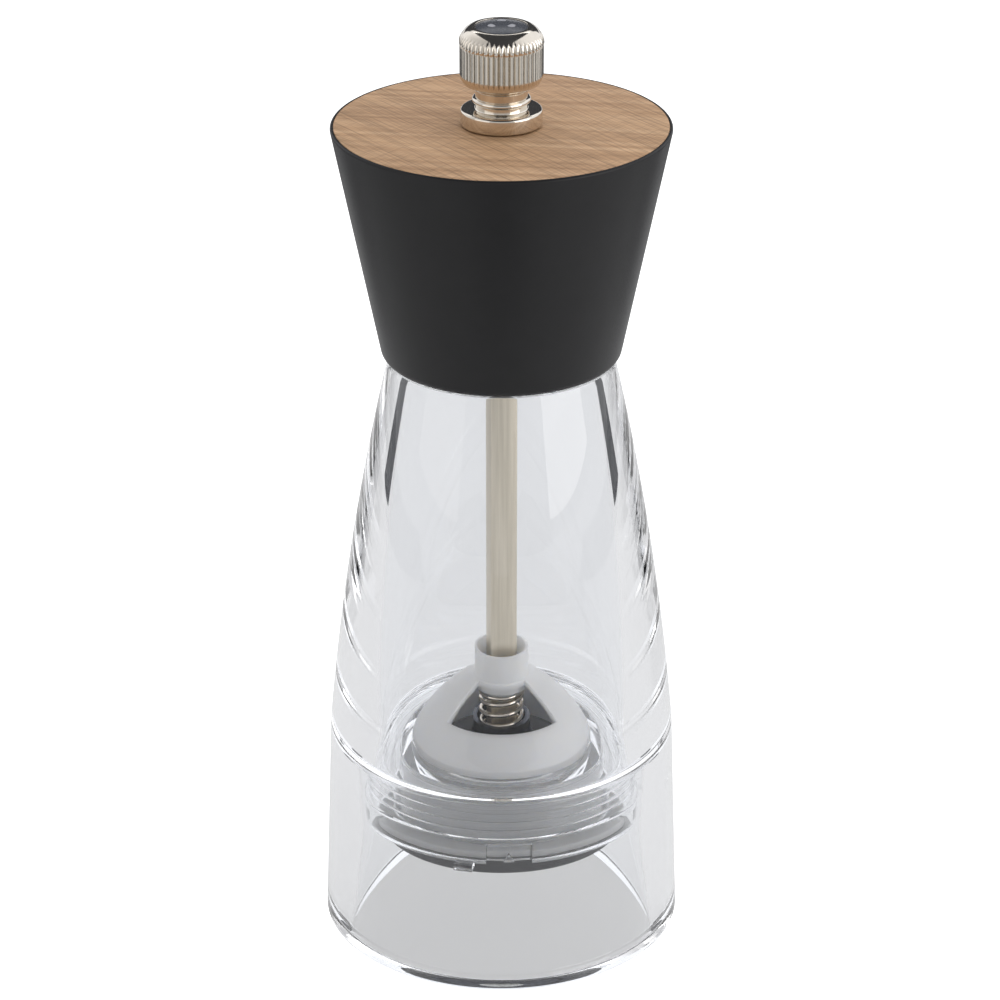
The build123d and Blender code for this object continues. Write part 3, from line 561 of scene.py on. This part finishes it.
def toothed_burr():
    """The inner burr: slanted teeth round its skirt, blades that wind up a cone, and the spring's cup."""
    rows = 70

    def outline(angle):
        points = [(ROTOR_BORE_R, ROTOR_LOW_Z)]
        for i in range(rows + 1):
            z = ROTOR_LOW_Z + (CONE_TOP_Z - ROTOR_LOW_Z) * i / rows
            if z < TEETH_TOP_Z:
                skirt = TEETH_R - TEETH_TAPER * (z - ROTOR_LOW_Z) / (TEETH_TOP_Z - ROTOR_LOW_Z)
                wave = (angle + (z - ROTOR_LOW_Z) * TOOTH_SLANT) * TEETH / TURN % 1
                radius = skirt - TOOTH_DEPTH * max(0.0, 1 - abs(wave - 0.5) * 3.4)
            else:
                rise = (z - TEETH_TOP_Z) / (CONE_TOP_Z - TEETH_TOP_Z)
                cone = CUP_R + CONE_FLARE * (1 - min(1, rise * 1.35)) ** 2.2
                blade = BLADE_R - BLADE_TAPER * rise
                wave = (angle - BLADE_WIND * rise) * BLADES / TURN % 1
                if wave < 0.5:
                    crest = max(0.0, 1 - (0.5 - wave) * 4.2) ** 0.7
                else:
                    crest = max(0.0, 1 - (wave - 0.5) * 9)
                radius = cone + max(0.0, blade - cone) * crest
            points.append((radius, z))
        points += [(CUP_R, CUP_TOP_Z), (CUP_BORE_R, CUP_TOP_Z)]
        return points + [(CUP_BORE_R, CUP_FLOOR_Z), (ROTOR_BORE_R, CUP_FLOOR_Z)]

    piece = lathe("toothed_burr", outline, 360, sharp_angle=50)
    finish_piece(piece, "drive", "burr_steel", "inner_burr")


def square_shaft():
    """The square bar with its broken corners, and the thread cut round its top."""
    half, corner = SHAFT_SIDE / 2, SHAFT_CORNER
    section = []
    for quarter in range(4):
        for step in range(5):
            t = pi / 2 * (quarter + step / 4)
            sx, sy = (1 if quarter in (0, 3) else -1), (1 if quarter in (0, 1) else -1)
            section.append((sx * (half - corner) + corner * cos(t), sy * (half - corner) + corner * sin(t)))
    spin = Matrix.Rotation(SHAFT_TURN, 2)
    section = [spin @ Vector(p) for p in section]
    vertices, faces, count = [], [], len(section)
    levels = (
        (SHAFT_LOW_Z, 0.86),
        (SHAFT_LOW_Z + 0.4, 1),
        (SHAFT_SHOULDER_Z - SHAFT_CHAMFER, 1),
        (SHAFT_SHOULDER_Z, 0.78),
    )
    for z, scale in levels:
        vertices += [(p.x * scale, p.y * scale, z) for p in section]
    for level in range(len(levels) - 1):
        here, there = level * count, (level + 1) * count
        for k in range(count):
            n = (k + 1) % count
            faces.append((here + k, here + n, there + n, there + k))
    faces.append(tuple(range(count)))
    faces.append(tuple(range(3 * count, 4 * count)))
    bar = mesh_object("bar", vertices, faces)
    stud_low_z = SHAFT_SHOULDER_Z - SHAFT_CHAMFER
    stud_height = STUD_TOP_Z - SHAFT_SHOULDER_Z + SHAFT_CHAMFER
    rows = int(stud_height / THREAD_PITCH * 8)

    def thread(angle):
        points = [(0, stud_low_z)]
        for i in range(rows + 1):
            z = stud_low_z + stud_height * i / rows
            wave = abs(((z / THREAD_PITCH - angle / TURN) % 1) - 0.5) * 2
            tip = min(1.0, (STUD_TOP_Z - z) / 0.5)
            points.append((STUD_R - THREAD_DEPTH * max(wave, 1 - tip), z))
        return points + [(0, STUD_TOP_Z)]

    piece = joined("square_shaft", [bar, lathe("stud", thread, 48, sharp_angle=60)])
    finish_piece(piece, "drive", "shaft_steel", "shaft")


def coil_spring():
    """The spring: its end coils lie closed on the cup's floor and on the washer under the hub."""
    low, high = CUP_FLOOR_Z + WIRE_R, HUB_FOOT_Z - WASHER_THICK - WIRE_R
    turns, dead, steps = 4.9, 0.9, 40
    closed = 2 * WIRE_R + 0.02
    free = (high - low - 2 * dead * closed) / (turns - 2 * dead)
    path, z = [], low
    for i in range(int(turns * steps) + 1):
        turn = i / steps
        t = radians(30) + turn * TURN
        path.append((SPRING_R * cos(t), SPRING_R * sin(t), z))
        z += (closed if turn < dead or turn > turns - dead else free) / steps
    piece = tube("coil_spring", path, WIRE_R)
    finish_piece(piece, None, "spring_steel", "spring")
    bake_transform(piece)


# ---- Cap and knob -------------------------------------------------------------------------------------

CAP_LOW_Z, CAP_TOP_Z, CAP_LOW_R, CAP_SLOPE = 107.0, 147.7, 20.2, 0.2022
CAP_WALL, CAP_LIP, DISC_THICK, DECK_THICK = 2.3, 0.6, 2.5, 2.0
CAP_HOLE_R, WOOD_HOLE_R = 3.6, 3.7
WEB_TOP_Z, SCREW_RING, BOSS_R, BOSS_BORE_R = 118.0, 10.6, 2.6, 1.1
KNOB_BORE_R, KNOB_SEAT_R = 3.7, 5.5
KNOB_Z, KNOB_SEAT_Z, KNOB_FLANGE_R, KNOB_FLANGE_TOP_Z = 147.9, 148.2, 6.8, 150.6
KNOB_WAIST_R, KNOB_BEAD_Z, KNOB_BEAD_R = 4.35, 152.1, 0.55
KNOB_BEVEL_Z, KNOB_BARREL_Z, KNOB_RIDGE_TOP_Z = 153.9, 155.1, 161.3
KNOB_SHOULDER, KNOB_RIM_R, KNOB_RIM_Z = (6.15, 163.75), 4.9, 164.55
RIDGES, RIDGE_ROOT_R, RIDGE_R = 48, 6.45, 6.97
DISC_R, DISC_FLOOR_Z, HEIGHT = 4.35, KNOB_RIM_Z - 0.9, 165.0
SPOTS, SPOT_R, SPOT_RING = 3, 0.75, 1.75


def cap_radius(z):
    return CAP_LOW_R + CAP_SLOPE * (z - CAP_LOW_Z)


def flared_cap():
    """The dark cap with the bosses that its core is screwed to."""
    deck_z = CAP_TOP_Z - DISC_THICK
    under_z = deck_z - DECK_THICK
    lip_r = cap_radius(CAP_TOP_Z)
    points = [(CAP_LOW_R - CAP_WALL, CAP_LOW_Z, 0.3), (CAP_LOW_R, CAP_LOW_Z, 1.7), (lip_r, CAP_TOP_Z, 0.42)]
    points += [(lip_r - CAP_LIP, CAP_TOP_Z, 0.1), (lip_r - CAP_LIP, deck_z)]
    points += [(CAP_HOLE_R, deck_z), (CAP_HOLE_R, under_z)]
    points += [(cap_radius(under_z) - CAP_WALL, under_z, 0.8)]
    shell = lathe("shell", rounded(points, steps=8), 256)
    bosses = []
    for i in range(3):
        t = pi / 2 + TURN * i / 3
        outline = [(BOSS_BORE_R, WEB_TOP_Z), (BOSS_R, WEB_TOP_Z, 0.15), (BOSS_R, under_z - 0.8)]
        outline += [(BOSS_R + 0.7, under_z + 0.3), (BOSS_BORE_R, under_z + 0.3)]
        boss = lathe("boss", rounded(outline), 48)
        boss.data.transform(Matrix.Translation((SCREW_RING * MM * cos(t), SCREW_RING * MM * sin(t), 0)))
        bosses.append(boss)
    finish_piece(joined("flared_cap", [shell, *bosses]), "cap", "black_cap", "cap_shell")


def wooden_top():
    """The wooden disc let into the top of the cap."""
    outer_r = cap_radius(CAP_TOP_Z) - CAP_LIP - 0.05
    low = CAP_TOP_Z - DISC_THICK
    points = [(WOOD_HOLE_R, low), (outer_r, low)]
    points += [(outer_r, CAP_TOP_Z, 0.14), (WOOD_HOLE_R, CAP_TOP_Z, 0.14)]
    finish_piece(lathe("wooden_top", rounded(points), 256), "cap", "wood", "wooden_disc")


def plated_knob():
    """The knob: its ridges are rounded, run out at both ends and are cut a little unevenly."""
    steps_per_ridge = 10
    barrel_rows, shoulder_rows = 14, 18

    def outline(angle):
        bead = arc(
            (KNOB_WAIST_R, KNOB_BEAD_Z - KNOB_BEAD_R),
            (KNOB_WAIST_R + KNOB_BEAD_R, KNOB_BEAD_Z),
            (KNOB_WAIST_R, KNOB_BEAD_Z + KNOB_BEAD_R),
            8,
        )
        points = [(KNOB_BORE_R, KNOB_SEAT_Z), (KNOB_SEAT_R, KNOB_SEAT_Z), (KNOB_SEAT_R, KNOB_Z)]
        points += [(KNOB_FLANGE_R, KNOB_Z, 0.25), (KNOB_FLANGE_R, KNOB_FLANGE_TOP_Z, 0.45)]
        points += [(KNOB_WAIST_R, KNOB_FLANGE_TOP_Z, 0.25), *bead, (KNOB_WAIST_R, KNOB_BEVEL_Z, 0.3)]
        points += [(RIDGE_ROOT_R, KNOB_BARREL_Z, 0.25)]
        ridge = abs(cos(RIDGES / 2 * angle)) ** 0.7
        wobble = 1 + 0.12 * sin(7 * angle) + 0.1 * sin(19 * angle + 1)
        depth = (RIDGE_R - RIDGE_ROOT_R) * ridge * min(1, 0.88 * wobble)
        for i in range(barrel_rows + 1):
            share = i / barrel_rows
            z = KNOB_BARREL_Z + 0.3 + (KNOB_RIDGE_TOP_Z - KNOB_BARREL_Z - 0.4) * share
            fade = min(1.0, share * 9) ** 0.6
            points.append((RIDGE_ROOT_R + depth * fade, z))
        low, rim = (RIDGE_ROOT_R, KNOB_RIDGE_TOP_Z), (KNOB_RIM_R, KNOB_RIM_Z)
        for i, (r, z) in enumerate(arc(low, KNOB_SHOULDER, rim, shoulder_rows)):
            points.append((r + depth * max(0.0, 1 - 1.9 * i / shoulder_rows) ** 0.7, z))
        points += [(DISC_R + 0.05, KNOB_RIM_Z, 0.08), (DISC_R + 0.05, DISC_FLOOR_Z)]
        return rounded(points + [(KNOB_BORE_R, DISC_FLOOR_Z)])

    piece = lathe("plated_knob", outline, RIDGES * steps_per_ridge, sharp_angle=60)
    finish_piece(piece, "knob", "chrome_knob", "knob")


def knob_top():
    """The dark disc in the knob, and three spots on it."""
    dome = arc((DISC_R, KNOB_RIM_Z - 0.15), (DISC_R * 0.6, HEIGHT - 0.2), (0, HEIGHT - 0.04), 16)
    points = [(0, DISC_FLOOR_Z), (DISC_R, DISC_FLOOR_Z), *dome]
    finish_piece(lathe("knob_disc_top", points, 96), "knob", "knob_disc", "knob_insert")
    dots = []
    for i in range(SPOTS):
        t = pi / 2 + TURN * i / SPOTS
        outline = [(0, HEIGHT - 0.5), (SPOT_R, HEIGHT - 0.5)]
        outline += [(SPOT_R, HEIGHT - 0.08, 0.05), (0, HEIGHT - 0.05)]
        dot = lathe("dot", rounded(outline, steps=3), 32)
        dot.data.transform(Matrix.Translation((SPOT_RING * MM * cos(t), SPOT_RING * MM * sin(t), 0)))
        dots.append(dot)
    finish_piece(joined("knob_spots", dots), "knob", "disc_mark", "knob_mark")


def dress_cad_nodes():
    """The CAD nodes that stay as they are get their materials."""
    slots = {part["node"]: part["material_slot"] for part in frame["record"]["subparts"]}
    for name, node in frame["nodes"].items():
        node.data.materials.clear()
        node.data.materials.append(MATERIALS[slots[name]])


# ---- Stage, lights and camera --------------------------------------------------------------------------


def area_light(name, at, target, size, power, color=(1, 1, 1)):
    data = bpy.data.lights.new(name, "AREA")
    data.shape, data.size, data.size_y = "RECTANGLE", size[0], size[1]
    data.energy, data.color = power, color
    light = bpy.data.objects.new(name, data)
    light.location = at
    light.rotation_euler = (Vector(target) - Vector(at)).to_track_quat("-Z", "Y").to_euler()
    scene.collection.objects.link(light)


def table(name, seen_by_camera, color, glow, roughness):
    """One of the two faces of the table: one that only the camera sees, one that everything else sees."""
    bpy.ops.mesh.primitive_grid_add(x_subdivisions=1, y_subdivisions=1, size=9, location=(0, 0, -0.00002))
    top = bpy.context.object
    top.name = name
    top.visible_camera = seen_by_camera
    for kind in ("diffuse", "glossy", "transmission", "shadow"):
        setattr(top, "visible_" + kind, not seen_by_camera)
    m = Material(name, (color,) * 3, roughness)
    m.set(m.shader, {"Emission Color": (1, 1, 1, 1), "Specular IOR Level": 0.1})
    length = m.add("ShaderNodeVectorMath", {"operation": "LENGTH"}, Vector=m.coordinates)
    from_middle = length.outputs["Value"]
    # The table glows as well as taking the lamps' light. The glow is brightest near the middle and dimmer
    # farther out: a painted pool of light.
    painted_glow_pool = m.add("ShaderNodeMapRange", {"interpolation_type": "SMOOTHSTEP"}, Value=from_middle)
    m.set(painted_glow_pool, {"From Min": 0.22, "From Max": 0.75, "To Min": glow, "To Max": glow * 0.6})
    m.link(painted_glow_pool.outputs["Result"], "Emission Strength")
    m.link(m.mix(m.noise(m.coordinates, 3, 2), (color * 0.99,) * 3, (color * 1.01,) * 3), "Base Color")
    top.data.materials.append(m.material)


def flag(name, at, size, turn, lying=False, transmission=True):
    """A dark card that the camera doesn't see, which shows only in reflections and in the clear plastic."""
    bpy.ops.mesh.primitive_grid_add(x_subdivisions=1, y_subdivisions=1, size=1, location=at)
    card = bpy.context.object
    card.name = name
    card.scale = (size[0], size[1], 1)
    card.rotation_euler = (0 if lying else pi / 2, 0, turn)
    for kind in ("camera", "diffuse", "shadow"):
        setattr(card, "visible_" + kind, False)
    card.visible_transmission = transmission
    m = Material(name, (0.04, 0.043, 0.05), 0.8)
    m.link(m.mix(m.noise(m.coordinates, 3, 2), (0.036, 0.039, 0.046), (0.044, 0.047, 0.054)), "Base Color")
    card.data.materials.append(m.material)


def stage():
    """A white table in a dim room with soft boxes, and dark cards that draw edges in what shines."""
    table("table_seen", True, 0.5, 1.2, 0.8)
    table("table_lit", False, 0.30, 0.47, 0.8)
    flag("flag_left", (-0.165, 0.12, 0.06), (0.05, 0.16), radians(54))
    flag("flag_right", (0.165, 0.12, 0.06), (0.05, 0.16), radians(-54))
    flag("flag_front", (0.0, -0.42, 0.001), (0.13, 0.52), 0, lying=True, transmission=False)
    for side in (-1, 1):
        flag("flag_side", (side * 0.46, 0.06, 0.001), (0.16, 0.60), 0, lying=True, transmission=False)
    flag("flag_beyond", (0.0, 0.54, 0.001), (0.60, 0.42), 0, lying=True, transmission=False)
    flag("flag_above", (0.0, -0.12, 0.62), (0.60, 1.20), 0, lying=True, transmission=False)
    flag("flag_back", (0.0, 0.75, 0.42), (0.9, 0.42), 0, transmission=False)

    world = bpy.data.worlds.new("room")
    scene.world = world
    world.use_nodes = True
    tree = world.node_tree
    direction = tree.nodes.new("ShaderNodeTexCoord").outputs["Generated"]
    toward = tree.nodes.new("ShaderNodeVectorMath")
    toward.operation = "DOT_PRODUCT"
    toward.inputs[1].default_value = (0.45, 0.89, 0)
    tree.links.new(direction, toward.inputs[0])
    ramp = tree.nodes.new("ShaderNodeValToRGB")
    remap = tree.nodes.new("ShaderNodeMapRange")
    remap.inputs["From Min"].default_value = -1.0
    tree.links.new(toward.outputs["Value"], remap.inputs["Value"])
    tree.links.new(remap.outputs["Result"], ramp.inputs["Fac"])
    elements = ramp.color_ramp.elements
    elements[0].position, elements[0].color = 0.15, (0.50, 0.50, 0.51, 1)
    elements[1].position, elements[1].color = 0.64, (0.94, 0.95, 0.98, 1)
    middle = elements.new(0.40)
    middle.color = (0.66, 0.66, 0.67, 1)
    background = tree.nodes["Background"]
    tree.links.new(ramp.outputs["Color"], background.inputs["Color"])
    background.inputs["Strength"].default_value = 1.2

    area_light("left_box", (-0.60, -0.42, 0.26), (0, 0, 0.10), (0.60, 0.50), 0.6, (1.0, 0.975, 0.94))
    area_light("right_box", (0.62, -0.36, 0.26), (0, 0, 0.10), (0.60, 0.50), 1.9, (1.0, 0.985, 0.965))
    area_light("top_box", (0, 0.45, 0.85), (0, 0, 0.1), (0.8, 0.5), 1.5)


CAMERA_AT, CAMERA_DOWN, CAMERA_LENS, SENSOR = (-0.00024, -0.5753, 0.3430), 24.608, 131.9, 36.0


def camera():
    """The photograph's view: a long lens from in front, looking down."""
    data = bpy.data.cameras.new("camera")
    data.sensor_width, data.lens = SENSOR, CAMERA_LENS
    view = bpy.data.objects.new("camera", data)
    view.location = CAMERA_AT
    view.rotation_euler = (radians(90 - CAMERA_DOWN), 0, 0)
    scene.collection.objects.link(view)
    scene.camera = view


def colour_and_light_paths():
    scene.view_settings.view_transform = "Standard"
    cycles = scene.cycles
    cycles.max_bounces, cycles.transmission_bounces, cycles.glossy_bounces = 32, 24, 24
    cycles.diffuse_bounces, cycles.transparent_max_bounces = 4, 16
    cycles.sample_clamp_indirect = 6.0
    cycles.use_denoising = True


dress_cad_nodes()
clear_body()
carrier_ring()
milky_cage()
collar_ring()
toothed_burr()
square_shaft()
coil_spring()
flared_cap()
wooden_top()
plated_knob()
knob_top()
stage()
camera()
colour_and_light_paths()
